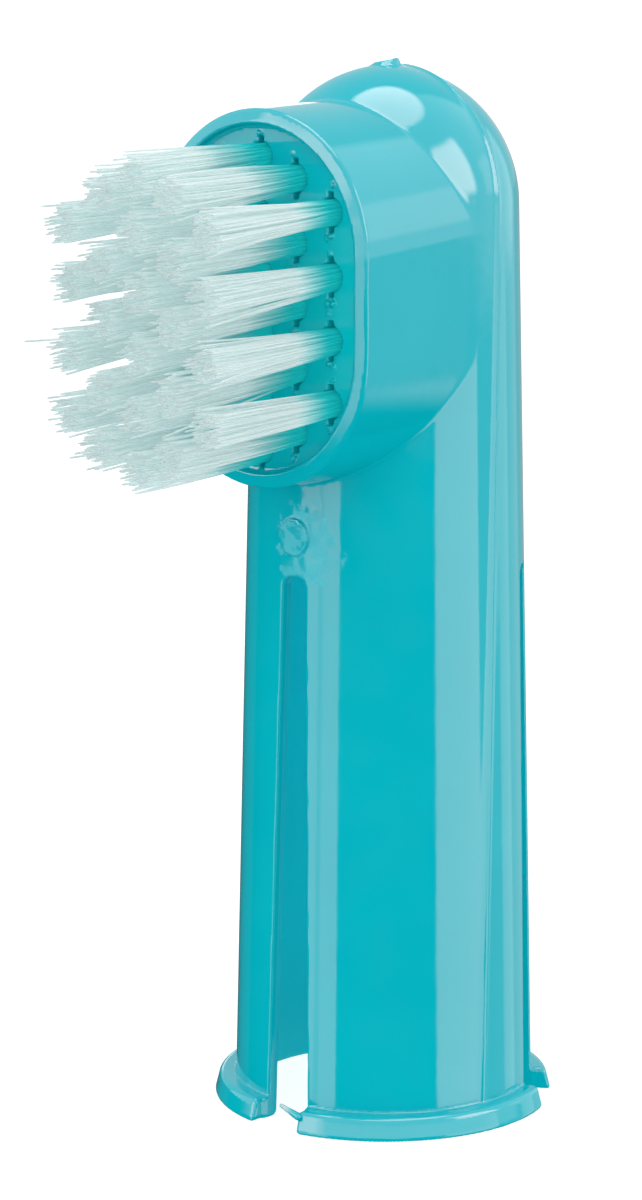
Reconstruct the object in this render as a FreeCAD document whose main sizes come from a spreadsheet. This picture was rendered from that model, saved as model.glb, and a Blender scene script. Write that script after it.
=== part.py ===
import FreeCAD, Part
import math
import os

import Sketcher

# Finger toothbrush for a pet: a thimble-shaped moulding that is worn on a fingertip, with stapled
# bristle tufts on its front. Millimetres. The tube's axis is Z and its mouth is at Z = 0.
# The brush head faces -Y.

ORIGIN_POINT = (-1, 1)  # how a sketch names its own origin
UPRIGHT_AXIS = -2  # how a sketch names its own vertical axis
LEVEL_AXIS = -1  # how a sketch names its own horizontal axis

SIZES = {
    "total_height": 60.0,
    "wall_thickness": 0.8,
    "mouth_radius": 8.69,  # outside of the tube, if it ran on to Z = 0
    "dome_radius": 7.47,  # outside of the tube where the half-round dome begins
    "flange_radius": 9.92,
    "flange_height": 1.3,
    "flange_rounding": 0.5,
    "slot_height": 31.7,
    "slot_top_width": 1.58,
    "slot_mouth_width": 2.78,
    "slot_rounding": 0.5,
    "head_reach": 11.185,  # from the tube's axis to the rim of the head
    "head_centre": 47.48,
    "head_width": 15.71,
    "head_length": 20.71,
    "head_root_width": 14.8,  # where the head's sides meet the plane through the tube's axis
    "head_root_length": 21.6,
    "rim_width": 0.83,
    "rim_rounding": 0.35,
    "face_depth": 0.6,  # how far the head's face lies behind its rim
    "gate_radius": 1.05,
    "gate_centre": 34.0,
    "gate_root": 7.6,
    "gate_reach": 8.02,
    "column_spacing": 2.5,
    "pattern_centre": 47.25,
    "middle_pitch": 3.2,
    "outer_pitch": 3.45,
    "hole_radius": 0.78,
    "hole_depth": 3.2,
    "fold_room": 0.35,  # left below an anchor for the fold of its tuft
    "anchor_length": 2.2,
    "anchor_thickness": 0.3,
    "anchor_depth": 1.6,
    "tuft_radius": 0.72,
    "tuft_tip_radius": 1.3,
    "bristle_length": 10.2,
}

# Tufts in each column of the head, from its left to its right as the wearer's finger points up.
COLUMN_COUNTS = (4, 5, 6, 5, 4)

doc = FreeCAD.newDocument("finger_toothbrush")

sheet = doc.addObject("Spreadsheet::Sheet", "Sizes")
for row, (alias, number) in enumerate(SIZES.items(), start=1):
    sheet.set(f"A{row}", alias)
    sheet.set(f"B{row}", str(number))
    sheet.setAlias(f"B{row}", alias)
doc.recompute()

# Formulas that more than one feature uses.
FACE_REACH = "(Sizes.head_reach - Sizes.face_depth)"
INNER_MOUTH = "(Sizes.mouth_radius - Sizes.wall_thickness)"
INNER_DOME = "(Sizes.dome_radius - Sizes.wall_thickness)"
DOME_BASE = "(Sizes.total_height - Sizes.dome_radius)"


def number_of(formula):
    """The present value of a sheet formula."""
    return float(sheet.evalExpression(formula))


def point_at(across, up):
    return FreeCAD.Vector(number_of(across), number_of(up), 0)


def origin_feature(body, role):
    return next(feature for feature in body.Origin.OriginFeatures if feature.Role == role)


def front_sketch(body, name, reach="0"):
    """A sketch seen from the front (across = X, up = Z), at this distance in front of the axis."""
    sketch = body.newObject("Sketcher::SketchObject", name)
    sketch.AttachmentSupport = [(origin_feature(body, "XZ_Plane"), "")]
    sketch.MapMode = "FlatFace"
    sketch.setExpression("AttachmentOffset.Base.z", reach)
    return sketch


def pin(sketch, geometry, end, across, up):
    """Fix one point of a sketch at a place given by two formulas, of which None leaves it free."""
    for kind, formula, axis in (("DistanceX", across, UPRIGHT_AXIS), ("DistanceY", up, LEVEL_AXIS)):
        if formula is None:
            continue
        if formula == "0":
            sketch.addConstraint(Sketcher.Constraint("PointOnObject", geometry, end, axis))
            continue
        distance = Sketcher.Constraint(kind, *ORIGIN_POINT, geometry, end, number_of(formula))
        index = sketch.addConstraint(distance)
        sketch.setExpression(f"Constraints[{index}]", formula)


def outline(sketch, corners, dome_side=None):
    """A closed outline through corners, each a pair of formulas, numbered from 0.

    Its sides are straight, except that side number dome_side is a quarter circle centred on
    the upright axis, level with where it starts.
    """
    points = [point_at(*corner) for corner in corners]
    for side, start in enumerate(points):
        finish = points[(side + 1) % len(points)]
        if side == dome_side:
            middle = FreeCAD.Vector(0, start.y, 0)
            circle = Part.Circle(middle, FreeCAD.Vector(0, 0, 1), start.x)
            sketch.addGeometry(Part.ArcOfCircle(circle, 0, math.pi / 2), False)
        else:
            sketch.addGeometry(Part.LineSegment(start, finish), False)
    for side, (across, up) in enumerate(corners):
        before = (side - 1) % len(corners)
        sketch.addConstraint(Sketcher.Constraint("Coincident", before, 2, side, 1))
        if side == dome_side:
            pin(sketch, side, 3, "0", up)
            pin(sketch, side, 1, across, None)
        elif before == dome_side:
            pin(sketch, side, 1, across, None)
        else:
            pin(sketch, side, 1, across, up)


def stadium(sketch, half_width, half_length, middle):
    """An upright outline with straight sides and half-round ends."""
    wide = number_of(half_width)
    centre = number_of(middle)
    straight = number_of(half_length) - wide
    axis = FreeCAD.Vector(0, 0, 1)
    top = Part.Circle(FreeCAD.Vector(0, centre + straight, 0), axis, wide)
    bottom = Part.Circle(FreeCAD.Vector(0, centre - straight, 0), axis, wide)
    upper = sketch.addGeometry(Part.ArcOfCircle(top, 0, math.pi), False)
    lower = sketch.addGeometry(Part.ArcOfCircle(bottom, math.pi, 2 * math.pi), False)
    sides = []
    for side in (-1, 1):
        low = FreeCAD.Vector(side * wide, centre - straight, 0)
        high = FreeCAD.Vector(side * wide, centre + straight, 0)
        sides.append(sketch.addGeometry(Part.LineSegment(low, high), False))
    left, right = sides
    for line, line_end, arc, arc_end in (
        (left, 2, upper, 2),
        (left, 1, lower, 1),
        (right, 2, upper, 1),
        (right, 1, lower, 2),
    ):
        sketch.addConstraint(Sketcher.Constraint("Tangent", line, line_end, arc, arc_end))
    radius = sketch.addConstraint(Sketcher.Constraint("Radius", upper, wide))
    sketch.setExpression(f"Constraints[{radius}]", half_width)
    pin(sketch, upper, 3, "0", f"{middle} + {half_length} - {half_width}")
    pin(sketch, lower, 3, "0", f"{middle} - {half_length} + {half_width}")


def disc(sketch, radius, across, up):
    circle = Part.Circle(point_at(across, up), FreeCAD.Vector(0, 0, 1), number_of(radius))
    index = sketch.addGeometry(circle, False)
    size = sketch.addConstraint(Sketcher.Constraint("Radius", index, number_of(radius)))
    sketch.setExpression(f"Constraints[{size}]", radius)
    pin(sketch, index, 3, across, up)


def feature(body, kind, name, profile=None, **formulas):
    """A PartDesign feature whose sizes follow sheet formulas."""
    made = body.newObject(f"PartDesign::{kind}", name)
    if profile:
        made.Profile = profile
        profile.Visibility = False
    for size, formula in formulas.items():
        made.setExpression(size, formula)
    return made


def turned(body, kind, name, profile):
    """A Revolution or a Groove, once round the tube's axis."""
    made = feature(body, kind, name, profile)
    made.ReferenceAxis = (profile, ["V_Axis"])
    made.Angle = 360
    return made


def rounded(body, name, base, edge_test, radius):
    """A Fillet of the edges that pass a test."""
    doc.recompute()
    edges = [f"Edge{n}" for n, edge in enumerate(base.Shape.Edges, start=1) if edge_test(edge)]
    made = feature(body, "Fillet", name, Radius=radius)
    made.Base = (base, edges)
    return made


def expect_less(before, after):
    """A cut that points away from the solid removes nothing and raises nothing."""
    doc.recompute()
    if after.Shape.Volume >= before.Shape.Volume:
        raise RuntimeError(f"{after.Name} removes no material")


def column_places():
    """(column number from the middle, tuft count, pitch formula, lowest tuft's height formula)"""
    middle = len(COLUMN_COUNTS) // 2
    for index, count in enumerate(COLUMN_COUNTS):
        column = index - middle
        pitch = "Sizes.middle_pitch" if column == 0 else "Sizes.outer_pitch"
        yield column, count, pitch, f"Sizes.pattern_centre - {pitch} * {(count - 1) / 2}"


def make_sleeve():
    """The one-piece moulding: tube, dome, mouth flange, skirt slots and brush head."""
    body = doc.addObject("PartDesign::Body", "finger_sleeve")
    body.Label = "finger_sleeve"

    # Outside: a flange, a tapered tube and a half-round dome.
    tube_at_flange = (
        "Sizes.mouth_radius - (Sizes.mouth_radius - Sizes.dome_radius)"
        f" * Sizes.flange_height / {DOME_BASE}"
    )
    outside = front_sketch(body, "outside_profile")
    outline(
        outside,
        (
            ("0", "0"),
            ("Sizes.flange_radius", "0"),
            ("Sizes.flange_radius", "Sizes.flange_height"),
            (tube_at_flange, "Sizes.flange_height"),
            ("Sizes.dome_radius", DOME_BASE),
            ("0", "Sizes.total_height"),
        ),
        dome_side=4,
    )
    shell = turned(body, "Revolution", "outside", outside)

    flange_girth = 2 * math.pi * number_of("Sizes.flange_radius")

    def on_flange_edge(edge):
        return abs(edge.Length - flange_girth) < 1e-4

    flange = rounded(body, "flange_rounding", shell, on_flange_edge, "Sizes.flange_rounding")

    # Brush head: from the stadium of its rim back to a narrower, longer one on the tube's axis.
    rim = front_sketch(body, "head_rim", "Sizes.head_reach")
    stadium(rim, "Sizes.head_width / 2", "Sizes.head_length / 2", "Sizes.head_centre")
    root = front_sketch(body, "head_root")
    stadium(root, "Sizes.head_root_width / 2", "Sizes.head_root_length / 2", "Sizes.head_centre")
    root.Visibility = False
    head = feature(body, "AdditiveLoft", "head", rim)
    head.Sections = [root]
    head.Ruled = True

    # Gate mark: the small disc left in front where the mould was filled.
    gate_sketch = front_sketch(body, "gate_outline", "Sizes.gate_root")
    disc(gate_sketch, "Sizes.gate_radius", "0", "Sizes.gate_centre")
    gate = feature(
        body, "Pad", "gate_mark", gate_sketch, Length="Sizes.gate_reach - Sizes.gate_root"
    )

    # Finger bore: the outside profile moved in by the wall.
    inside = front_sketch(body, "bore_profile")
    outline(
        inside,
        (
            ("0", "0"),
            (INNER_MOUTH, "0"),
            (INNER_DOME, DOME_BASE),
            ("0", "Sizes.total_height - Sizes.wall_thickness"),
        ),
        dome_side=2,
    )
    bore = turned(body, "Groove", "bore", inside)
    expect_less(gate, bore)

    # Three slots let the skirt spread: one in front, the others a third of a turn round.
    slot_sketch = front_sketch(body, "slot_outline", "Sizes.flange_radius")
    outline(
        slot_sketch,
        (
            ("-Sizes.slot_mouth_width / 2", "0"),
            ("Sizes.slot_mouth_width / 2", "0"),
            ("Sizes.slot_top_width / 2", "Sizes.slot_height"),
            ("-Sizes.slot_top_width / 2", "Sizes.slot_height"),
        ),
    )
    slot = feature(body, "Pocket", "front_slot", slot_sketch, Length="Sizes.flange_radius")
    expect_less(bore, slot)
    slots = feature(body, "PolarPattern", "skirt_slots")
    slots.Originals = [slot]
    slots.Axis = (origin_feature(body, "Z_Axis"), [""])
    slots.Angle = 360
    slots.Occurrences = 3
    body.Tip = slots
    expect_less(slot, slots)

    slot_height = number_of("Sizes.slot_height")
    half_wall = number_of("Sizes.wall_thickness / 2")

    def on_slot_corner(edge):
        if any(abs(vertex.Z - slot_height) > 1e-4 for vertex in edge.Vertexes):
            return False
        radii = [math.hypot(vertex.X, vertex.Y) for vertex in edge.Vertexes]
        return max(radii) - min(radii) > half_wall

    corners = rounded(body, "slot_rounding", slots, on_slot_corner, "Sizes.slot_rounding")

    # Recessed face of the head, inside a rounded rim.
    face_sketch = front_sketch(body, "face_outline", "Sizes.head_reach")
    stadium(
        face_sketch,
        "(Sizes.head_width / 2 - Sizes.rim_width)",
        "(Sizes.head_length / 2 - Sizes.rim_width)",
        "Sizes.head_centre",
    )
    face = feature(body, "Pocket", "face_recess", face_sketch, Length="Sizes.face_depth")
    expect_less(corners, face)

    head_reach = number_of("Sizes.head_reach")

    def on_rim(edge):
        return abs(edge.BoundBox.YMin + head_reach) < 1e-4 and edge.BoundBox.YLength < 1e-4

    latest = rounded(body, "rim_rounding", face, on_rim, "Sizes.rim_rounding")

    # Tuft holes: each a round blind hole, and a narrow slot across it that its anchor pressed open.
    for column, count, pitch, lowest in column_places():
        across = f"{column} * Sizes.column_spacing" if column else "0"
        tag = f"column_{column + len(COLUMN_COUNTS) // 2 + 1}"
        hole_sketch = front_sketch(body, f"{tag}_hole_outline", FACE_REACH)
        disc(hole_sketch, "Sizes.hole_radius", across, lowest)
        hole = feature(body, "Pocket", f"{tag}_hole", hole_sketch, Length="Sizes.hole_depth")
        nick_sketch = front_sketch(body, f"{tag}_nick_outline", FACE_REACH)
        left = f"{across} - Sizes.anchor_thickness / 2"
        right = f"{across} + Sizes.anchor_thickness / 2"
        low = f"{lowest} - Sizes.anchor_length / 2"
        high = f"{lowest} + Sizes.anchor_length / 2"
        outline(nick_sketch, ((left, low), (right, low), (right, high), (left, high)))
        nick = feature(
            body, "Pocket", f"{tag}_nick", nick_sketch, Length="Sizes.hole_depth - Sizes.fold_room"
        )
        expect_less(latest, nick)
        holes = feature(body, "LinearPattern", f"{tag}_holes", Length=f"{pitch} * {count - 1}")
        holes.Originals = [hole, nick]
        holes.Direction = (nick_sketch, ["V_Axis"])
        holes.Occurrences = count
        body.Tip = holes
        expect_less(nick, holes)
        latest = holes
    return body


def primitive(kind, name, **formulas):
    made = doc.addObject(f"Part::{kind}", name)
    for size, formula in formulas.items():
        made.setExpression(size, formula)
    return made


def set_place(shape_object, x, y, z, rotation=None):
    """Bind a Placement's position to formulas, and turn it."""
    turn = rotation or FreeCAD.Rotation()
    shape_object.Placement = FreeCAD.Placement(FreeCAD.Vector(), turn)
    for letter, formula in zip("xyz", (x, y, z)):
        shape_object.setExpression(f"Placement.Base.{letter}", formula)


# Turns a piece that is made standing on its own Z axis so that it points out of the head, to -Y.
OUT_OF_HEAD = FreeCAD.Rotation(FreeCAD.Vector(1, 0, 0), 90)
ANCHOR_SIZES = {
    "Length": "Sizes.anchor_thickness",
    "Width": "Sizes.anchor_length",
    "Height": "Sizes.anchor_depth",
}


def make_tuft(number, across, up):
    """One tuft: straight in its hole, spreading outside it, with its fold round its anchor."""
    name = f"bristle_tuft_{number:02d}"
    root = primitive(
        "Cylinder", f"{name}_root", Radius="Sizes.tuft_radius", Height="Sizes.hole_depth"
    )
    set_place(root, "0", "0", "-Sizes.hole_depth")
    spread = primitive(
        "Cone",
        f"{name}_spread",
        Radius1="Sizes.tuft_radius",
        Radius2="Sizes.tuft_tip_radius",
        Height="Sizes.bristle_length",
    )
    bundle = doc.addObject("Part::Fuse", f"{name}_bundle")
    bundle.Base = root
    bundle.Tool = spread
    gap = primitive("Box", f"{name}_anchor_gap", **ANCHOR_SIZES)
    set_place(
        gap,
        "-Sizes.anchor_thickness / 2",
        "-Sizes.anchor_length / 2",
        "Sizes.fold_room - Sizes.hole_depth",
    )
    tuft = doc.addObject("Part::Cut", name)
    tuft.Label = name
    tuft.Base = bundle
    tuft.Tool = gap
    set_place(tuft, across, f"-{FACE_REACH}", up, OUT_OF_HEAD)
    return tuft


def make_anchor(number, across, up):
    """The flat staple that holds one tuft: its ends bite into the hole's wall above and below."""
    name = f"tuft_anchor_{number:02d}"
    anchor = primitive("Box", name, **ANCHOR_SIZES)
    anchor.Label = name
    set_place(
        anchor,
        f"{across} - Sizes.anchor_thickness / 2",
        f"Sizes.hole_depth - Sizes.fold_room - {FACE_REACH}",
        f"{up} - Sizes.anchor_length / 2",
        OUT_OF_HEAD,
    )
    return anchor


def make_bristles():
    """Tufts and anchors, numbered column by column from the lowest up."""
    made = []
    number = 0
    for column, count, pitch, lowest in column_places():
        across = f"{column} * Sizes.column_spacing"
        for step in range(count):
            number += 1
            up = f"{lowest} + {pitch} * {step}"
            made.append(make_tuft(number, across, up))
            made.append(make_anchor(number, across, up))
    return made


def check(sub_parts):
    for thing in doc.Objects:
        if "Invalid" in thing.State or "Error" in thing.State:
            raise RuntimeError(f"{thing.Name} failed: {thing.State}")
    for sub_part in sub_parts:
        if sub_part.Shape.isNull() or not sub_part.Shape.isValid():
            raise RuntimeError(f"{sub_part.Label} has a bad shape")


sub_parts = [make_sleeve()] + make_bristles()
doc.recompute()
check(sub_parts)

os.makedirs("parts", exist_ok=True)
for sub_part in sub_parts:
    sub_part.Shape.exportStep(f"parts/{sub_part.Label}.step")
    box = sub_part.Shape.BoundBox
    print(sub_part.Label, len(sub_part.Shape.Solids), round(sub_part.Shape.Volume, 2), box)
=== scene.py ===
"""Looks of a finger toothbrush for a pet: a glossy teal moulding, loose nylon filaments, steel anchors.

The moulding is worked out as a distance field in millimetres, meshed on a grid and settled onto the
field's zero surface, so that its small roundings and its mould marks are all geometry.
"""

import math

import bpy
import numpy as np
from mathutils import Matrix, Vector


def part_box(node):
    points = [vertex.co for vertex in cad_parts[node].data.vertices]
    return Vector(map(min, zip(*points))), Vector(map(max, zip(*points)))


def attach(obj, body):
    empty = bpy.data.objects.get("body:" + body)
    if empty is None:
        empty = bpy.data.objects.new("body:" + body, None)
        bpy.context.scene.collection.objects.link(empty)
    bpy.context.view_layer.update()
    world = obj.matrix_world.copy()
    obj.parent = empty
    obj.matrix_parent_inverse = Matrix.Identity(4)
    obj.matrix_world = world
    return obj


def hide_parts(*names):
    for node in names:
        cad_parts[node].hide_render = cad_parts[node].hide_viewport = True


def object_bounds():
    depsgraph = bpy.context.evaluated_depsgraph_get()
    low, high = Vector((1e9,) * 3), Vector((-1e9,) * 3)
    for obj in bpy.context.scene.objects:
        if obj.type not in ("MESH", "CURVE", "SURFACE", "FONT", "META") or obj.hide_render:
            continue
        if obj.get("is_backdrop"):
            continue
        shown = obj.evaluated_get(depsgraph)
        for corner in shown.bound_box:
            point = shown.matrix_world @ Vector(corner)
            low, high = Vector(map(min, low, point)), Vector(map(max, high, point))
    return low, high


MM = 0.001

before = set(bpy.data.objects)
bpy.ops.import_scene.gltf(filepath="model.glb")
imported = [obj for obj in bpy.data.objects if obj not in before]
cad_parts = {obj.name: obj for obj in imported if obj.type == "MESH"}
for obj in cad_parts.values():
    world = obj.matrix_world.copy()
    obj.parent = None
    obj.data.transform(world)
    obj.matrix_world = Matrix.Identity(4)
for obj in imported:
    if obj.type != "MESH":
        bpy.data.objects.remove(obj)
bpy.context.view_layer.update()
sleeve_low, sleeve_high = (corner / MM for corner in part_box("finger_sleeve"))

# ---------------------------------------------------------------- sizes, in millimetres

TOTAL_HEIGHT = sleeve_high.z
FLANGE_RADIUS = sleeve_high.x
HEAD_REACH = -sleeve_low.y  # from the tube's axis to the rim of the head

WALL = 0.8
MOUTH_RADIUS = 8.69
TAPER = 0.0232  # the tube's radius lost with each millimetre of height
DOME_INSET = 0.39  # the dome's arc is centred this far beyond the axis, so it is a little pointed
DOME_LEVEL = 52.13

FLANGE_HEIGHT = 1.3
FLANGE_TOP_ROUNDING = 0.28
FLANGE_DRAFT = 0.25  # the flange's radius lost with each millimetre of height
FLANGE_FILLET = 0.08
MOUTH_ROUNDING = 0.2
BORE_ROUNDING = 0.35

HEAD_CENTRE = 47.48
HEAD_RIM = (7.855, 10.355)  # half width and half length at the rim
HEAD_ROOT = (7.4, 10.8)  # the same in the plane of the axis
HEAD_FILLET = 0.12
RIM_WIDTH = 0.83
RIM_SLOPE = 0.37  # the rim falls away outward by this share of its width
RIM_ROUNDING = 0.14
RIM_INNER_ROUNDING = 0.2
FACE_DEPTH = 0.6
FACE_FLANK = HEAD_RIM[1] - HEAD_RIM[0]  # half the length of the face's straight sides
FACE_FILLET = 0.2
FACE_MARGIN = 1.0  # the face's details are worked out to this far behind its holes

HOLE_RADIUS = 0.78
HOLE_DEPTH = 3.2
HOLE_ROUNDING = 0.08
NICK_LENGTH = 2.2
NICK_WIDTH = 0.34
NICK_DEPTH = 2.85

SLOT_COUNT = 3
SLOT_HEIGHT = 31.7
SLOT_TOP_WIDTH = 1.58
SLOT_MOUTH_WIDTH = 2.95
SLOT_CORNER = 0.5
SLOT_EDGE = 0.17  # rounding of the slot's edges in the tube
SLOT_FLANGE_EDGE = 0.3  # and in the flange
SLOT_FLANGE_EXTRA = 0.12  # each side of the slot is this much wider through the flange
SLOT_FLANGE_REACH = 0.5  # both change over this distance out from the tube

GATE_RADIUS = 1.05
GATE_CENTRE = 34.0
GATE_REACH = 8.02
GATE_FILLET = 0.1
GATE_ROUNDING = 0.05
GATE_THICKNESS = 1.0  # most of it lies inside the wall
RIPPLE_HEIGHT = 0.005  # unevenness of the skin round the gate
RIPPLE_MIDDLE = 0.6  # along X
RIPPLE_REACH = (2.2, 2.9)  # along X and Z
RIPPLE_FADE = (1.2, 0.6)  # it grows from nothing to full height between these shares of its reach
RIPPLE_WAVES = ((4.3, 2.3, 0.0), (-3.1, 5.9, 0.6), (8.0, 1.1, 0.0))  # turns along X and Z, and phase

PARTING_START = -1.46  # where the plane between the mould halves meets the mouth, along Y
PARTING_LEAN = 0.0412
PARTING_STEP = 0.08  # how far the rear half stands proud
PARTING_BAND = 0.14  # the step rises over this distance to each side of the joint
PARTING_BEAD = 0.07  # height of the fine raised line along the joint
PARTING_BEAD_WIDTH = 0.23

NUB_RADIUS = 0.75
NUB_HEIGHT = 0.2
NUB_LEAN = 0.16  # how far its top rises with each millimetre to the rear right
NUB_FOOT = 57.0  # it is cut off at this height, inside the dome
NUB_ROUNDING = 0.22
NUB_FILLET = 0.3

BURR_RADIUS = 0.13
BURRS_PER_TUFT = 3
BURR_ASIDE = 0.22  # the most that a crumb stands to one side of its nick
BURR_ALONG = 0.62  # and its distance from the hole's centre, as a share of the nick's length
BURR_TURNS = (2.4, 2.1)  # angle that sets its place and size, added for each tuft and each crumb
BURR_SHIFT = 0.1  # share by which its distance along the nick varies
BURR_SPREAD = 0.35  # and its radius
BURR_FILLET = 0.05

FLASH_ROOT = (1.75, -9.6, 1.05)  # a sliver of flash, from the flange into the front slot
FLASH_TIP = (0.6, -9.75, 1.5)
FLASH_RADIUS = 0.23
FLASH_TAPER = 0.5  # the share of its radius that it loses by its tip
FLASH_FILLET = 0.05

FACE_Y = FACE_DEPTH - HEAD_REACH
SLOT_TURN = 2 * math.pi / SLOT_COUNT

FAR = 9.0  # a distance past every small detail

GRID_STEP = 0.15
GRID_MARGIN = 0.5
GRID_BLOCK = 4  # the rough pass takes one node from each block of this many along each axis
NEAR_SURFACE = 7 * GRID_STEP
FOOT_TOP = 2.0  # the plain skirt, where the grid is coarser up the tube, runs from here
SKIRT_TOP = 29.0  # to here
SKIRT_STEP = 2.4 * GRID_STEP
SLEEVE_FACES = 190000
SLOPE_REACH = 0.01  # a slope is measured from this far behind a point to this far ahead
LEAST_STEEPNESS = 0.1  # the smallest squared slope that settling divides by
LONGEST_SHIFT = 0.1  # the most that a vertex moves in one round of settling
TINY = 1e-9
SEED = 24


# ---------------------------------------------------------------- distance field of the moulding


def blend(start, end, share):
    return start + (end - start) * share


def smooth_step(value, low, high):
    share = np.clip((value - low) / (high - low), 0, 1)
    return share * share * (3 - 2 * share)


def joined(one, other, fillet):
    """Both solids, with a round fillet of this radius where they meet."""
    corner = np.hypot(np.maximum(fillet - one, 0), np.maximum(fillet - other, 0))
    return np.maximum(fillet, np.minimum(one, other)) - corner


def cut(solid, tool, rounding):
    """The solid without the tool, with its new edges rounded to this radius."""
    corner = np.hypot(np.maximum(rounding + solid, 0), np.maximum(rounding - tool, 0))
    return np.minimum(-rounding, np.maximum(solid, -tool)) + corner


def rounded_corner(across, up, rounding):
    """The quarter plane where both numbers are negative, with its corner rounded."""
    across = across + rounding
    up = up + rounding
    outside = np.hypot(np.maximum(across, 0), np.maximum(up, 0))
    return outside + np.minimum(np.maximum(across, up), 0) - rounding


def tube(x, y, z):
    """The tapered tube and its pointed dome, with no flange and no mouth."""
    radius = np.hypot(x, y)
    slant = math.hypot(1, TAPER)
    dome_radius = (MOUTH_RADIUS - TAPER * DOME_LEVEL + DOME_INSET) / slant
    wall = (radius - MOUTH_RADIUS + TAPER * z) / slant
    dome = np.hypot(radius + DOME_INSET, z - DOME_LEVEL) - dome_radius
    return np.where(z - DOME_LEVEL > TAPER * (radius + DOME_INSET), dome, wall)


def flange(x, y, z):
    side = np.hypot(x, y) - FLANGE_RADIUS + FLANGE_DRAFT * z
    return rounded_corner(side, z - FLANGE_HEIGHT, FLANGE_TOP_ROUNDING)


def nub(x, y, z):
    """The small lump on top of the dome."""
    top = TOTAL_HEIGHT + NUB_HEIGHT + NUB_LEAN * (x + y)
    lump = rounded_corner(np.hypot(x, y) - NUB_RADIUS, z - top, NUB_ROUNDING)
    return np.maximum(lump, NUB_FOOT - z)


def head_side(x, y, z):
    """Distance from the head's side wall, which has straight flanks and half-round ends."""
    share = 1 + y / HEAD_REACH
    half_width = blend(HEAD_RIM[0], HEAD_ROOT[0], share)
    half_length = blend(HEAD_RIM[1], HEAD_ROOT[1], share)
    past_flank = np.maximum(np.abs(z - HEAD_CENTRE) - (half_length - half_width), 0)
    return np.hypot(x, past_flank) - half_width


def head(x, y, z):
    side = head_side(x, y, z)
    crown = RIM_SLOPE * np.maximum(side + RIM_WIDTH, 0)
    return np.maximum(rounded_corner(side, crown - HEAD_REACH - y, RIM_ROUNDING), y)


def gate_mark(x, y, z):
    """The small disc left where the mould was filled."""
    side = np.hypot(x, z - GATE_CENTRE) - GATE_RADIUS
    disc = rounded_corner(side, -GATE_REACH - y, GATE_ROUNDING)
    return np.maximum(disc, y + GATE_REACH - GATE_THICKNESS)


def gate_ripple(x, y, z):
    """The uneven skin round the gate."""
    reach = np.hypot((x - RIPPLE_MIDDLE) / RIPPLE_REACH[0], (z - GATE_CENTRE) / RIPPLE_REACH[1])
    swell = sum(np.sin(along * x + up * z + phase) for along, up, phase in RIPPLE_WAVES)
    return RIPPLE_HEIGHT * swell * smooth_step(reach, *RIPPLE_FADE) * (y < 0)


def flash(x, y, z):
    """The sliver of flash, a thin cone with round ends."""
    root = np.array(FLASH_ROOT)
    tip = np.array(FLASH_TIP)
    length = tip - root
    place = np.stack((x, y, z), -1) - root
    share = np.clip(place @ length / (length @ length), 0, 1)
    radius = FLASH_RADIUS * (1 - FLASH_TAPER * share)
    return np.linalg.norm(place - share[..., None] * length, axis=-1) - radius


def slot(x, y, z, turn):
    """One skirt slot, cut outward from the axis at this angle about it."""
    along = -math.sin(turn) * x + math.cos(turn) * y
    outward = math.cos(turn) * x + math.sin(turn) * y
    half_width = blend(SLOT_MOUTH_WIDTH, SLOT_TOP_WIDTH, z / SLOT_HEIGHT) / 2
    opening = rounded_corner(np.abs(along) - half_width, z - SLOT_HEIGHT, SLOT_CORNER)
    return np.maximum(opening, -outward)


def burrs(x, y, z, places):
    """Crumbs of plastic raised round the holes when the anchors were pressed in."""
    nearest = np.full(x.shape, FAR)
    for number, (across, up) in enumerate(places):
        for crumb in range(BURRS_PER_TUFT):
            turn = BURR_TURNS[0] * number + BURR_TURNS[1] * crumb
            side = x - across - BURR_ASIDE * math.cos(turn)
            end = BURR_ALONG if crumb % 2 else -BURR_ALONG
            rise = z - up - end * NICK_LENGTH * (1 + BURR_SHIFT * math.sin(turn))
            reach = np.sqrt(side**2 + rise**2 + (y - FACE_Y) ** 2)
            radius = BURR_RADIUS * (1 + BURR_SPREAD * math.sin(3 * turn))
            nearest = np.minimum(nearest, reach - radius)
    return nearest


def tuft_holes(x, y, z, places):
    """Every tuft hole with the nick that its anchor pressed across it."""
    nearest = np.full(x.shape, FAR)
    for across, up in places:
        side = x - across
        rise = z - up
        hole = np.maximum(np.hypot(side, rise) - HOLE_RADIUS, y - FACE_Y - HOLE_DEPTH)
        nick = np.maximum(np.abs(side) - NICK_WIDTH / 2, np.abs(rise) - NICK_LENGTH / 2)
        nick = np.maximum(nick, y - FACE_Y - NICK_DEPTH)
        nearest = np.minimum(nearest, np.minimum(hole, nick))
    return nearest


def face_details(solid, x, y, z, places):
    """The head's recessed face, its burrs and its tuft holes."""
    recess = rounded_corner(head_side(x, y, z) + RIM_WIDTH, y - FACE_Y, FACE_FILLET)
    solid = cut(solid, recess, RIM_INNER_ROUNDING)
    solid = joined(solid, burrs(x, y, z, places), BURR_FILLET)
    return cut(solid, tuft_holes(x, y, z, places), HOLE_ROUNDING)


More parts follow.
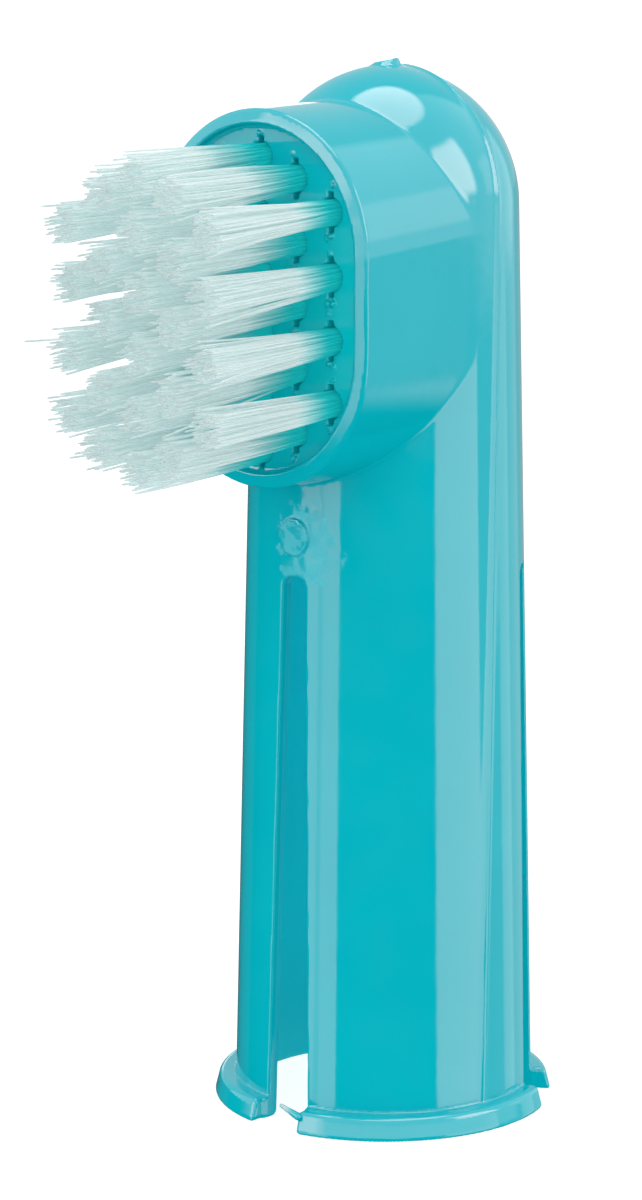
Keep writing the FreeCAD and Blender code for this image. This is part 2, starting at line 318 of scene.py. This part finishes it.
def moulding(x, y, z, places):
    """Signed distance to the whole sleeve, roughly in millimetres, negative inside the plastic."""
    plain = tube(x, y, z)
    past_parting = y - PARTING_START - PARTING_LEAN * z
    proud = PARTING_STEP * smooth_step(past_parting, -PARTING_BAND, PARTING_BAND)
    bead = PARTING_BEAD * np.exp(-((past_parting / PARTING_BEAD_WIDTH) ** 2))
    solid = plain - proud - bead + gate_ripple(x, y, z)
    solid = joined(solid, flange(x, y, z), FLANGE_FILLET)
    solid = joined(solid, head(x, y, z), HEAD_FILLET)
    solid = joined(solid, gate_mark(x, y, z), GATE_FILLET)
    solid = joined(solid, nub(x, y, z), NUB_FILLET)
    solid = cut(solid, z, MOUTH_ROUNDING)
    solid = cut(solid, plain + WALL, BORE_ROUNDING)
    in_flange = smooth_step(np.hypot(x, y), MOUTH_RADIUS, MOUTH_RADIUS + SLOT_FLANGE_REACH)
    slot_edge = blend(SLOT_EDGE, SLOT_FLANGE_EDGE, in_flange)
    for number in range(SLOT_COUNT):
        opening = slot(x, y, z, number * SLOT_TURN - math.pi / 2)
        solid = cut(solid, opening - SLOT_FLANGE_EXTRA * in_flange, slot_edge)
    solid = joined(solid, flash(x, y, z), FLASH_FILLET)
    near_face = y < FACE_Y + HOLE_DEPTH + FACE_MARGIN
    here = (x[near_face], y[near_face], z[near_face])
    solid[near_face] = face_details(solid[near_face], *here, places)
    return solid


# ---------------------------------------------------------------- meshing


def spaced(low, high, step):
    return np.linspace(low, high, max(2, round((high - low) / step) + 1))


def grid_axes():
    """Grid lines along X, Y and Z. Y is counted from the parting plane, so that the step there
    runs along the grid, and Z is coarser down the plain skirt."""
    side = spaced(-FLANGE_RADIUS - GRID_MARGIN, FLANGE_RADIUS + GRID_MARGIN, GRID_STEP)
    front = -HEAD_REACH - PARTING_START - PARTING_LEAN * TOTAL_HEIGHT - GRID_MARGIN
    depth = spaced(front, FLANGE_RADIUS - PARTING_START + GRID_MARGIN, GRID_STEP)
    foot = spaced(-GRID_MARGIN, FOOT_TOP, GRID_STEP)
    skirt = spaced(FOOT_TOP, SKIRT_TOP, SKIRT_STEP)
    top = spaced(SKIRT_TOP, TOTAL_HEIGHT + 2 * GRID_MARGIN, GRID_STEP)
    return side, depth, np.concatenate((foot[:-1], skirt[:-1], top))


def sampled(axes, field):
    """The field at every grid node, worked out exactly only where the surface may be near."""
    rough_axes = []
    for axis in axes:
        middles = np.arange(0, len(axis), GRID_BLOCK) + GRID_BLOCK // 2
        rough_axes.append(axis[np.minimum(middles, len(axis) - 1)])
    value = field(*np.meshgrid(*rough_axes, indexing="ij"))
    for along, axis in enumerate(axes):
        value = np.take(value, np.arange(len(axis)) // GRID_BLOCK, along)
    near = np.abs(value) < NEAR_SURFACE
    nodes = np.nonzero(near)
    value[near] = field(*(axis[index] for axis, index in zip(axes, nodes)))
    return value


def surface_net(axes, value, place):
    """Vertices and quads of the zero surface of value, sampled where the grid lines of axes cross."""
    cells = tuple(len(axis) - 1 for axis in axes)
    total = np.zeros((cells[0] * cells[1] * cells[2], 3))
    count = np.zeros(len(total))
    quads = []
    for along in range(3):
        others = [(along + 1) % 3, (along + 2) % 3]
        low = np.take(value, range(value.shape[along] - 1), along)
        high = np.take(value, range(1, value.shape[along]), along)
        nodes = np.argwhere((low < 0) != (high < 0))
        before = low[tuple(nodes.T)]
        after = high[tuple(nodes.T)]
        point = np.stack([axes[a][nodes[:, a]] for a in range(3)], 1)
        step = np.diff(axes[along])[nodes[:, along]]
        point[:, along] += step * before / (before - after)
        ring = []
        for offset in ((1, 1), (0, 1), (0, 0), (1, 0)):
            cell = nodes.copy()
            cell[:, others[0]] -= offset[0]
            cell[:, others[1]] -= offset[1]
            ring.append(np.ravel_multi_index(tuple(cell.T), cells))
        for index in ring:
            count += np.bincount(index, minlength=len(total))
            for a in range(3):
                total[:, a] += np.bincount(index, point[:, a], minlength=len(total))
        ring = np.stack(ring, 1)
        leaving = before < 0
        quads.append(np.where(leaving[:, None], ring, ring[:, ::-1]))
    used = np.flatnonzero(count)
    number = np.full(len(total), -1)
    number[used] = np.arange(len(used))
    vertices = place(*(total[used] / count[used, None]).T)
    return vertices, number[np.concatenate(quads)]


def slope(field, points):
    """Gradient of a field at points, by central differences."""
    columns = []
    for axis in range(3):
        ahead = points.copy()
        behind = points.copy()
        ahead[:, axis] += SLOPE_REACH
        behind[:, axis] -= SLOPE_REACH
        columns.append((field(*ahead.T) - field(*behind.T)) / (2 * SLOPE_REACH))
    return np.stack(columns, 1)


def settle(field, points, rounds):
    """Points moved onto the zero surface of a field, and the surface's normals there."""
    for _ in range(rounds):
        gradient = slope(field, points)
        steepness = np.maximum((gradient**2).sum(1), LEAST_STEEPNESS)
        shift = -(field(*points.T) / steepness)[:, None] * gradient
        length = np.linalg.norm(shift, axis=1, keepdims=True)
        points = points + shift * np.minimum(1, LONGEST_SHIFT / np.maximum(length, TINY))
    gradient = slope(field, points)
    length = np.linalg.norm(gradient, axis=1, keepdims=True)
    return points, gradient / np.maximum(length, TINY)


def new_object(name, vertices, faces, material, normals=None):
    """A smooth-shaded mesh object from millimetre coordinates."""
    mesh = bpy.data.meshes.new(name)
    mesh.from_pydata((np.asarray(vertices) * MM).tolist(), [], faces)
    mesh.shade_smooth()
    if normals is not None:
        mesh.normals_split_custom_set_from_vertices(normals.tolist())
    if material:
        mesh.materials.append(material)
    made = bpy.data.objects.new(name, mesh)
    bpy.context.scene.collection.objects.link(made)
    return made


def thinned(vertices, quads, faces):
    """About this many triangles for the same surface, fewest where it is flattest."""
    rough = new_object("sleeve_rough", vertices, quads.tolist(), None)
    modifier = rough.modifiers.new("thin", "DECIMATE")
    modifier.ratio = min(1, faces / (2 * len(quads)))
    graph = bpy.context.evaluated_depsgraph_get()
    mesh = bpy.data.meshes.new_from_object(rough.evaluated_get(graph))
    points = np.zeros(3 * len(mesh.vertices))
    mesh.vertices.foreach_get("co", points)
    triangles = [tuple(face.vertices) for face in mesh.polygons]
    bpy.data.objects.remove(rough)
    bpy.data.meshes.remove(mesh)
    return points.reshape(-1, 3) / MM, triangles


def make_sleeve(places, material):
    """The whole moulding as one mesh, replacing the CAD sleeve."""

    def field(x, y, z):
        return moulding(x, y, z, places)

    def leaning_field(x, depth, z):
        return field(x, depth + PARTING_START + PARTING_LEAN * z, z)

    def place(x, depth, z):
        return np.stack((x, depth + PARTING_START + PARTING_LEAN * z, z), 1)

    axes = grid_axes()
    vertices, quads = surface_net(axes, sampled(axes, leaning_field), place)
    vertices, _ = settle(field, vertices, rounds=1)
    vertices, faces = thinned(vertices, quads, SLEEVE_FACES)
    vertices, normals = settle(field, vertices, rounds=3)
    made = new_object("sleeve_moulding", vertices, faces, material, normals)
    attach(made, "root")
    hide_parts("finger_sleeve")


# ---------------------------------------------------------------- bristles

FILAMENTS = 84  # in each tuft
FILAMENT_RADIUS = 0.065
FILAMENT_SIDES = 6
TUFT_ROOT_RADIUS = 0.68
TUFT_TIP_RADIUS = 1.08
BRISTLE_LENGTH = 10.2
LENGTH_SPREAD = 0.22
DROOP = 0.045  # fall with each millimetre of length
BURIED = 1.4  # length of each filament inside its hole
# The rings along a filament: one in its hole, and the others as shares of its length.
STATIONS = (-BURIED, 0, 0.2, 0.4, 0.6, 0.8, 0.985, 1.0)
GIRTHS = (1, 1, 1, 1, 1, 1, 0.96, 0.55)  # each ring's share of the radius
FLARE = 1.1  # power of the share at which a tuft spreads
TIP_SCATTER = 0.13  # of each filament's tip
TUFT_SCATTER = 0.12  # of a whole tuft's tips
BOW_SCATTER = 0.09  # of a filament's middle
PLACE_SCATTER = 0.05  # of its place in the tuft, as a share of the tuft's radius
STRAY_SHARE = 0.03  # of the filaments
STRAY_LENGTH = (0.5, 1.4)  # how much longer a stray one is
STRAY_SPREAD = 1.5  # and how much further out its tip stands


def disc_places(rng, count):
    """Evenly spread places in a unit disc, a little disturbed: a sunflower's pattern."""
    index = np.arange(count) + 0.5
    radius = np.sqrt(index / count)
    angle = index * math.pi * (3 - math.sqrt(5)) + rng.uniform(0, 2 * math.pi)
    places = np.stack((radius * np.cos(angle), radius * np.sin(angle)), 1)
    return places + rng.normal(0, PLACE_SCATTER, places.shape)


def make_tuft(number, across, up, rng, material):
    """One bundle of filaments, replacing the plain solid of its tuft."""
    spot = disc_places(rng, FILAMENTS)
    lengths = BRISTLE_LENGTH + rng.normal(0, LENGTH_SPREAD, FILAMENTS)
    stray = rng.random(FILAMENTS) < STRAY_SHARE
    lengths = np.where(stray, lengths + rng.uniform(*STRAY_LENGTH, FILAMENTS), lengths)
    root = spot * TUFT_ROOT_RADIUS
    tip = spot * TUFT_TIP_RADIUS + rng.normal(0, TIP_SCATTER, spot.shape)
    tip = tip + rng.normal(0, TUFT_SCATTER, 2)
    tip = np.where(stray[:, None], tip * STRAY_SPREAD, tip)
    bow = rng.normal(0, BOW_SCATTER, spot.shape)

    turn = np.arange(FILAMENT_SIDES) * 2 * math.pi / FILAMENT_SIDES
    rings = []
    for station, girth in zip(STATIONS, GIRTHS):
        share = max(station, 0)
        out = lengths * share if station >= 0 else np.full(FILAMENTS, station)
        centre = blend(root, tip, share**FLARE) + bow * 4 * share * (1 - share)
        radius = FILAMENT_RADIUS * girth
        ring_x = across + centre[:, :1] + radius * np.cos(turn)
        ring_z = up + centre[:, 1:] + radius * np.sin(turn) - (DROOP * np.maximum(out, 0))[:, None]
        ring_y = np.broadcast_to((FACE_Y - out)[:, None], ring_x.shape)
        rings.append(np.stack((ring_x, ring_y, ring_z), 2))
    vertices = np.stack(rings, 1)

    per_filament = len(STATIONS) * FILAMENT_SIDES
    faces = []
    for filament in range(FILAMENTS):
        first = filament * per_filament
        for ring in range(len(STATIONS) - 1):
            for side in range(FILAMENT_SIDES):
                low = first + ring * FILAMENT_SIDES
                next_side = (side + 1) % FILAMENT_SIDES
                high = low + FILAMENT_SIDES
                faces.append((low + side, low + next_side, high + next_side, high + side))
        last = first + per_filament - FILAMENT_SIDES
        faces.append(tuple(last + side for side in range(FILAMENT_SIDES)))
    made = new_object(f"filaments_{number:02d}", vertices.reshape(-1, 3), faces, material)
    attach(made, "root")
    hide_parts(f"bristle_tuft_{number:02d}")
    made.visible_shadow = False  # fine nylon lets most of the light through


# ---------------------------------------------------------------- materials

# Colours are linear. Lengths are in millimetres. Each noise has its scale, in cells to the metre, and
# its detail.

NARROW = (0.35, 0.65)  # the part of a noise's values that is stretched out
WIDE = (0.3, 0.7)

TEALS = ((0.0, 0.43, 0.515, 1), (0.001, 0.475, 0.56, 1))  # the plastic's two shades
CLOUD_NOISE = (160, 3)
GLOSS_TINT = (1.0, 0.62, 0.56, 1)
GLOSS_LEVELS = (0.1, 0.5)  # in the bore and outside
POLISH = (0.05, 0.09)  # roughness outside
POLISH_NOISE = (420, 3)
SKIN_NOISE = (900, 2)
SKIN_BUMP = (0.25, 0.02 * MM)  # strength, and height in metres
BORE_ROUGHNESS = 0.6
BORE_SKIN = (0.25, 0.55)  # the plastic turns from dull to polished between these distances past the bore
BORE_DOME = 1.5  # and over this height below the dome

FLASH_COLOUR = (0.36, 0.62, 0.66, 1)  # the flash is painted paler, as it is thin
FLASH_ASIDE = (0.9, 1.5)  # fading between these distances from the middle plane
FLASH_FRONT = -9.0  # in front of this
FLASH_TOP = 3.0  # and below this

FACE_PAINTED_LIGHT = (0.0, 0.57, 0.63, 1)  # painted light: the middle of the head's face is painted lighter, to make up for the shade that the bristles and the rim cast on it
FACE_SKIN = (0.1, 0.8)  # fading between these depths behind the face
FACE_FADE = (3.5, 8.5)  # and between these distances above and below the head's centre
FACE_ENDS = 0.2  # where this share of it is left

SCUFF_CENTRE = (0.75, -GATE_REACH, GATE_CENTRE - 0.6)  # a dull patch beside the gate
SCUFF_RADII = (1.6, 2.3)
SCUFF_RAGGED = 0.7  # how far its edge wanders
SCUFF_ROUGHNESS = (0.15, 0.5)
BLOTCH_NOISE = (1300, 2)
GRIT_NOISE = (2200, 3)

NYLON_WHITES = ((0.725, 0.805, 0.805, 1), (0.8, 0.868, 0.868, 1))
NYLON_ROOT_PAINTED_TEAL = (0.01, 0.6, 0.61, 1)  # painted light: the head's teal, as seen through the filaments and bounced among them
# painted shade: grey for the darker look of the filaments' rounded tips
NYLON_TIP_SHADE = (0.55, 0.62, 0.62, 1)
NYLON_ROUGHNESS = (0.5, 0.65)
STRAND_NOISE = (5000, 1)
STRAND_STRETCH = (1.0, 0.03, 1.0)  # long along the filaments
ROOT_END = 0.7  # the painted teal is whole up to here along a filament
WHITE_FROM = (5.6, 3.6)  # and gone by here, in the middle tufts and in the outer ones
MIDDLE_TUFTS = (2.0, 4.8)  # middle turns to outer between these distances from the middle plane
TIP_PAINTED_SHADE = (-0.25, 0.1, 0.4)  # painted shade at the tips: from, to, past the bristles' length, and how much of it
GLOW_REACH = 4.0
GLOW = (0.36, 0.06)  # painted glow of the filaments, to lift the shade among them: at the roots and past that reach

STEEL_GREYS = ((0.55, 0.56, 0.57, 1), (0.72, 0.73, 0.74, 1))
STEEL_ROUGHNESS = (0.22, 0.4)
STEEL_NOISE = (9000, 3)
STEEL_STRETCH = (1.0, 1.0, 0.05)  # long up the strip
STEEL_BUMP = (0.3, 0.01 * MM)


class Shader:
    """A material's node tree, with short ways to add nodes and to join them."""

    def __init__(self, name):
        self.material = bpy.data.materials.new(name)
        self.material.use_nodes = True
        self.tree = self.material.node_tree
        self.surface = self.tree.nodes["Principled BSDF"]

    def node(self, kind, **settings):
        made = self.tree.nodes.new(f"ShaderNode{kind}")
        for name, value in settings.items():
            setattr(made, name, value)
        return made

    def feed(self, socket, value):
        if isinstance(value, bpy.types.NodeSocket):
            self.tree.links.new(value, socket)
        else:
            socket.default_value = value

    def feed_all(self, made, values):
        """Each value to one input of a node, in their order."""
        for socket, value in zip(made.inputs, values):
            self.feed(socket, value)

    def place(self):
        """The point that is shaded, in the object's own coordinates."""
        return self.node("TexCoord").outputs["Object"]

    def parts(self, vector):
        """A vector's X, Y and Z."""
        split = self.node("SeparateXYZ")
        self.feed_all(split, (vector,))
        return tuple(split.outputs)

    def maths(self, operation, *values):
        made = self.node("Math", operation=operation)
        self.feed_all(made, values)
        return made.outputs[0]

    def vector_maths(self, operation, *values):
        made = self.node("VectorMath", operation=operation)
        self.feed_all(made, values)
        return made.outputs["Value" if operation in ("LENGTH", "DISTANCE") else "Vector"]

    def product(self, result, *others):
        for value in others:
            result = self.maths("MULTIPLY", result, value)
        return result

    def length(self, *parts):
        """Length of the vector with these parts."""
        vector = self.node("CombineXYZ")
        self.feed_all(vector, parts)
        return self.vector_maths("LENGTH", vector.outputs[0])

    def ramped(self, value, low, high, to_low=0.0, to_high=1.0):
        """A smooth change from to_low to to_high as value goes from low to high."""
        made = self.node("MapRange", interpolation_type="SMOOTHSTEP")
        names = ("Value", "From Min", "From Max", "To Min", "To Max")
        for name, number in zip(names, (value, low, high, to_low, to_high)):
            self.feed(made.inputs[name], number)
        return made.outputs["Result"]

    def noise(self, where, scale, detail):
        made = self.node("TexNoise")
        self.feed(made.inputs["Vector"], where)
        self.feed(made.inputs["Scale"], scale)
        self.feed(made.inputs["Detail"], detail)
        return made.outputs["Fac"]

    def mixed(self, share, one, other):
        """One colour changing to the other as share goes from 0 to 1."""
        made = self.node("Mix", data_type="RGBA")
        colours = [socket for socket in made.inputs if socket.type == "RGBA"]
        self.feed(made.inputs["Factor"], share)
        self.feed(colours[0], one)
        self.feed(colours[1], other)
        return next(socket for socket in made.outputs if socket.type == "RGBA")

    def bumped(self, height, strength, distance):
        made = self.node("Bump")
        self.feed(made.inputs["Height"], height)
        self.feed(made.inputs["Strength"], strength)
        self.feed(made.inputs["Distance"], distance)
        return made.outputs["Normal"]

    def set(self, **values):
        """Values for the surface's inputs, whose names have underscores here in place of spaces."""
        for name, value in values.items():
            self.feed(self.surface.inputs[name.replace("_", " ")], value)

    def finish_with(self, made):
        """This node as the whole look of the material."""
        self.feed(self.tree.nodes["Material Output"].inputs["Surface"], made.outputs[0])

    def glow(self, strength):
        """Plain white light of this strength in place of a surface."""
        light = self.node("Emission")
        self.feed(light.inputs["Strength"], strength)
        self.finish_with(light)
        self.tree.nodes.remove(self.surface)


def plastic_colour(shader, where, x, y, z):
    """Clouded teal, with the flash paler and painted light on the middle of the head's face."""
    teal = shader.mixed(shader.noise(where, *CLOUD_NOISE), *TEALS)
    near, far = FLASH_ASIDE
    in_slot = shader.ramped(shader.maths("ABSOLUTE", x), near * MM, far * MM, 1.0, 0.0)
    in_front = shader.maths("LESS_THAN", y, FLASH_FRONT * MM)
    by_mouth = shader.maths("LESS_THAN", z, FLASH_TOP * MM)
    colour = shader.mixed(shader.product(in_slot, in_front, by_mouth), teal, FLASH_COLOUR)

    # The middle of the face inside the rim gets painted light, in place of the shade the bristles and
    # rim cast there.
    off_centre = shader.maths("ABSOLUTE", shader.maths("SUBTRACT", z, HEAD_CENTRE * MM))
    past_flank = shader.maths("SUBTRACT", off_centre, FACE_FLANK * MM)
    reach = shader.length(x, 0.0, shader.maths("MAXIMUM", past_flank, 0.0))
    inside_rim = shader.maths("LESS_THAN", reach, (HEAD_RIM[0] - RIM_WIDTH) * MM)
    skin_from, skin_to = FACE_SKIN
    at_face = shader.ramped(y, (FACE_Y + skin_from) * MM, (FACE_Y + skin_to) * MM, 1.0, 0.0)
    near, far = FACE_FADE
    mid_face = shader.ramped(off_centre, near * MM, far * MM, 1.0, FACE_ENDS)
    return shader.mixed(shader.product(inside_rim, at_face, mid_face), colour, FACE_PAINTED_LIGHT)


def polished_side(shader, x, y, z):
    """1 on the outside and in the dome, and 0 in the bore."""
    untapered = shader.maths("MULTIPLY_ADD", z, TAPER, shader.length(x, y))
    bore_radius = (MOUTH_RADIUS - WALL) * MM
    skin_from, skin_to = BORE_SKIN
    beyond_bore = shader.ramped(untapered, bore_radius + skin_from * MM, bore_radius + skin_to * MM)
    in_dome = shader.ramped(z, (DOME_LEVEL - BORE_DOME) * MM, DOME_LEVEL * MM)
    return shader.maths("MAXIMUM", beyond_bore, in_dome)


def scuffs(shader, where):
    """Roughness of the dull patch beside the gate, and 0 elsewhere."""
    off_patch = shader.vector_maths("DISTANCE", where, Vector(SCUFF_CENTRE) * MM)
    wander = SCUFF_RAGGED * MM
    blotch = shader.ramped(shader.noise(where, *BLOTCH_NOISE), *WIDE, -wander, wander)
    ragged = shader.maths("ADD", off_patch, blotch)
    grit = shader.ramped(shader.noise(where, *GRIT_NOISE), *NARROW, *SCUFF_ROUGHNESS)
    inner, outer = SCUFF_RADII
    return shader.product(shader.ramped(ragged, inner * MM, outer * MM, 1.0, 0.0), grit)


def plastic_material():
    """Moulded teal plastic, polished outside and dull in the bore."""
    shader = Shader("teal_plastic")
    where = shader.place()
    x, y, z = shader.parts(where)
    outside = polished_side(shader, x, y, z)
    polish = shader.ramped(shader.noise(where, *POLISH_NOISE), *NARROW, *POLISH)
    in_bore = shader.ramped(outside, 0, 1, BORE_ROUGHNESS, 0.0)
    dull = shader.maths("MAXIMUM", scuffs(shader, where), in_bore)
    shader.set(
        Base_Color=plastic_colour(shader, where, x, y, z),
        Roughness=shader.maths("MAXIMUM", polish, dull),
        IOR=1.5,
        Specular_IOR_Level=shader.ramped(outside, 0, 1, *GLOSS_LEVELS),
        Specular_Tint=GLOSS_TINT,
        Normal=shader.bumped(shader.noise(where, *SKIN_NOISE), *SKIN_BUMP),
    )
    return shader.material


def nylon_material():
    """White nylon with painted light: the head's teal is painted on at the roots and the filaments glow,
    with grey painted shade at the tips; each filament differs.
    """
    shader = Shader("white_nylon")
    where = shader.place()
    x, y, _ = shader.parts(where)
    out = shader.maths("MULTIPLY_ADD", y, -1 / MM, FACE_Y)
    along_strands = shader.vector_maths("MULTIPLY", where, STRAND_STRETCH)
    strand = shader.noise(along_strands, *STRAND_NOISE)
    white = shader.mixed(strand, *NYLON_WHITES)
    near, far = MIDDLE_TUFTS
    white_from = shader.ramped(shader.maths("ABSOLUTE", x), near * MM, far * MM, *WHITE_FROM)
    # painted light: the head's teal is painted on the roots, fading to white further out
    white_with_painted_teal = shader.mixed(shader.ramped(out, ROOT_END, white_from), NYLON_ROOT_PAINTED_TEAL, white)
    # the tips get grey painted shade
    tip_from, tip_to, tip_shading = TIP_PAINTED_SHADE
    tip = shader.ramped(out, BRISTLE_LENGTH + tip_from, BRISTLE_LENGTH + tip_to, 0, tip_shading)
    colour = shader.mixed(tip, white_with_painted_teal, NYLON_TIP_SHADE)
    shader.set(
        Base_Color=colour,
        Roughness=shader.ramped(strand, *WIDE, *NYLON_ROUGHNESS),
        Specular_IOR_Level=0.3,
        # painted light: the filaments glow in their own colour, most at the roots
        Emission_Color=white_with_painted_teal,
        Emission_Strength=shader.ramped(out, 0, GLOW_REACH, *GLOW),
    )
    through = shader.node("BsdfTranslucent")
    shader.feed(through.inputs["Color"], colour)
    half = shader.node("MixShader")
    shader.feed(half.inputs[1], shader.surface.outputs[0])
    shader.feed(half.inputs[2], through.outputs[0])
    shader.finish_with(half)
    return shader.material


def steel_material():
    """Drawn steel: fine scratches along the strip and uneven polish."""
    shader = Shader("anchor_steel")
    along_strip = shader.vector_maths("MULTIPLY", shader.place(), STEEL_STRETCH)
    grain = shader.noise(along_strip, *STEEL_NOISE)
    shader.set(
        Base_Color=shader.mixed(grain, *STEEL_GREYS),
        Metallic=1.0,
        Roughness=shader.ramped(grain, *WIDE, *STEEL_ROUGHNESS),
        Normal=shader.bumped(grain, *STEEL_BUMP),
    )
    return shader.material


# ---------------------------------------------------------------- studio

FLOOR_HALF = 12000.0
FLOOR_GREYS = ((0.29, 0.29, 0.29, 1), (0.30, 0.30, 0.30, 1))
FLOOR_NOISE = (3, 2)
FLOOR_GLOW = 0.85

LIGHT_FROM_BELOW = 0.8
LIGHT_FROM_ABOVE = 1.34

BORE_LIGHT_RADIUS = 1.0
BORE_LIGHT_LENGTH = 46.0
BORE_LIGHT_MIDDLE = 27.0  # its height above the mouth
BORE_LIGHT_STRENGTH = 2.8

CAMERA_PLACE = (130.0, -155.8, 65.77)
CAMERA_DIRECTION = (-0.64411, 0.74425, -0.17666)
CAMERA_LENS = 107.12  # for a picture 36 wide
CAMERA_WIDTH = 36.0
CAMERA_CLIP = (0.005, 50.0)  # in metres

# Light panels round the object, which only its gloss sees. Azimuth is from +X towards +Y, in degrees:
# (azimuth from, to, edge softness, elevation from, to, edge softness, strength)
PANELS = (
    (-121, -105, 2, -26, 16, 16, 2.9),
    (-102, -87, 2, -26, 16, 16, 2.9),
    (-110, -95, 6, -26, 16, 16, 2.0),
    (-135, -93, 8, 0, 30, 5, 7.0),
    (-8, 34, 3, -26, 6, 16, 3.6),
    (2, 37, 8, 8, 45, 8, 9.5),
    (46, 64, 10, 4, 26, 8, 2.8),
    (30, 57, 4, -26, 60, 16, 0.75),
    (57, 74, 6, -26, 60, 16, 1.7),
    (66, 96, 12, -26, 60, 16, 0.9),
    (90, 136, 8, -26, 60, 16, 0.45),
    (122, 150, 8, 3, 12, 4, 2.0),
    (-125, 20, 6, -3, 9, 3, 2.8),
    (-125, -88, 12, -3, 9, 3, 5.0),
    (-181, 92, 14, -3, 91, 3, 1.8),
    (85, 181, 14, 1, 91, 4, 0.7),
    (128, 181, 8, -26, 60, 16, 0.05),
    (-181, 181, 1, 66, 91, 6, 7.5),
)


def plain_floor():
    """A nearly white floor, which is left out of the gloss and of the light that the object gathers."""
    shader = Shader("studio_floor")
    shader.set(
        Base_Color=shader.mixed(shader.noise(shader.place(), *FLOOR_NOISE), *FLOOR_GREYS),
        Roughness=0.9,
        Specular_IOR_Level=0.0,
        Emission_Color=(1, 1, 1, 1),
        Emission_Strength=FLOOR_GLOW,
    )
    corners = [(FLOOR_HALF * x, FLOOR_HALF * y, 0) for x, y in ((-1, -1), (1, -1), (1, 1), (-1, 1))]
    made = new_object("floor", corners, [(0, 1, 2, 3)], shader.material)
    made.visible_glossy = False
    made.visible_diffuse = False
    made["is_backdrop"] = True


def light_tent():
    """A sphere whose inside carries the light panels."""
    shader = Shader("light_panels")
    x, y, z = shader.parts(shader.vector_maths("NORMALIZE", shader.place()))
    degree = 180 / math.pi
    azimuth = shader.product(shader.maths("ARCTAN2", y, x), degree)
    elevation = shader.product(shader.maths("ARCSINE", z), degree)

    def window(value, low, high, soft):
        """1 between low and high, with soft edges."""
        rise = shader.ramped(value, low - soft / 2, low + soft / 2)
        fall = shader.ramped(value, high - soft / 2, high + soft / 2, 1.0, 0.0)
        return shader.product(rise, fall)

    brightness = 0.0
    for az_low, az_high, az_soft, el_low, el_high, el_soft, strength in PANELS:
        across = window(azimuth, az_low, az_high, az_soft)
        up = window(elevation, el_low, el_high, el_soft)
        panel = shader.product(across, up, strength)
        brightness = shader.maths("MAXIMUM", panel, brightness)
    shader.glow(brightness)

    bpy.ops.mesh.primitive_uv_sphere_add(segments=48, ring_count=24, radius=1.0)
    made = bpy.context.object
    made.name = "light_tent"
    made.data.materials.append(shader.material)
    made.location = (0, 0, TOTAL_HEIGHT / 2 * MM)
    made.visible_camera = False
    made.visible_diffuse = False
    made.visible_shadow = False
    made.visible_transmission = False
    made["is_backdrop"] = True


def bore_light():
    """A thin glowing rod inside the bore, in place of the light that comes through the thin wall."""
    shader = Shader("bore_glow")
    shader.glow(BORE_LIGHT_STRENGTH)
    radius = BORE_LIGHT_RADIUS * MM
    bpy.ops.mesh.primitive_cylinder_add(vertices=16, radius=radius, depth=BORE_LIGHT_LENGTH * MM)
    made = bpy.context.object
    made.name = "bore_light"
    made.data.materials.append(shader.material)
    made.location = (0, 0, BORE_LIGHT_MIDDLE * MM)
    made.visible_camera = False
    made.visible_glossy = False
    made.visible_shadow = False
    made.visible_transmission = False
    made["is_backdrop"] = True


def soft_world():
    """White light from all round, strongest from above, which the gloss doesn't see."""
    world = bpy.data.worlds.new("soft_white")
    world.use_nodes = True
    tree = world.node_tree
    direction = tree.nodes.new("ShaderNodeTexCoord")
    split = tree.nodes.new("ShaderNodeSeparateXYZ")
    strength = tree.nodes.new("ShaderNodeMapRange")
    background = tree.nodes["Background"]
    background.inputs["Color"].default_value = (1, 1, 1, 1)
    strength.inputs["From Min"].default_value = -1
    strength.inputs["To Min"].default_value = LIGHT_FROM_BELOW
    strength.inputs["To Max"].default_value = LIGHT_FROM_ABOVE
    tree.links.new(direction.outputs["Generated"], split.inputs[0])
    tree.links.new(split.outputs["Z"], strength.inputs["Value"])
    tree.links.new(strength.outputs["Result"], background.inputs["Strength"])
    bpy.context.scene.world = world
    world.cycles_visibility.glossy = False


def make_camera():
    """The photograph's point of view, as fitted to it."""
    camera = bpy.data.cameras.new("camera")
    camera.lens = CAMERA_LENS
    camera.sensor_width = CAMERA_WIDTH
    camera.clip_start, camera.clip_end = CAMERA_CLIP
    made = bpy.data.objects.new("camera", camera)
    bpy.context.scene.collection.objects.link(made)
    made.location = Vector(CAMERA_PLACE) * MM
    made.rotation_mode = "QUATERNION"
    made.rotation_quaternion = Vector(CAMERA_DIRECTION).to_track_quat("-Z", "Y")
    bpy.context.scene.camera = made


# ---------------------------------------------------------------- the scene

rng = np.random.default_rng(SEED)
tuft_numbers = range(1, 1 + sum(name.startswith("bristle_tuft_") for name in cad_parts))
tuft_places = []
for tuft_number in tuft_numbers:
    low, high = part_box(f"tuft_anchor_{tuft_number:02d}")
    tuft_places.append(((low.x + high.x) / 2 / MM, (low.z + high.z) / 2 / MM))

make_sleeve(tuft_places, plastic_material())

nylon = nylon_material()
for tuft_number, (across, up) in zip(tuft_numbers, tuft_places):
    make_tuft(tuft_number, across, up, rng, nylon)

steel = steel_material()
for tuft_number in tuft_numbers:
    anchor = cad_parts[f"tuft_anchor_{tuft_number:02d}"]
    anchor.data.materials.clear()
    anchor.data.materials.append(steel)

plain_floor()
light_tent()
bore_light()
soft_world()
make_camera()
bpy.context.scene.view_settings.view_transform = "Standard"
bpy.context.scene.cycles.diffuse_bounces = 16
bpy.context.scene.cycles.max_bounces = 16

low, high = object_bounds()
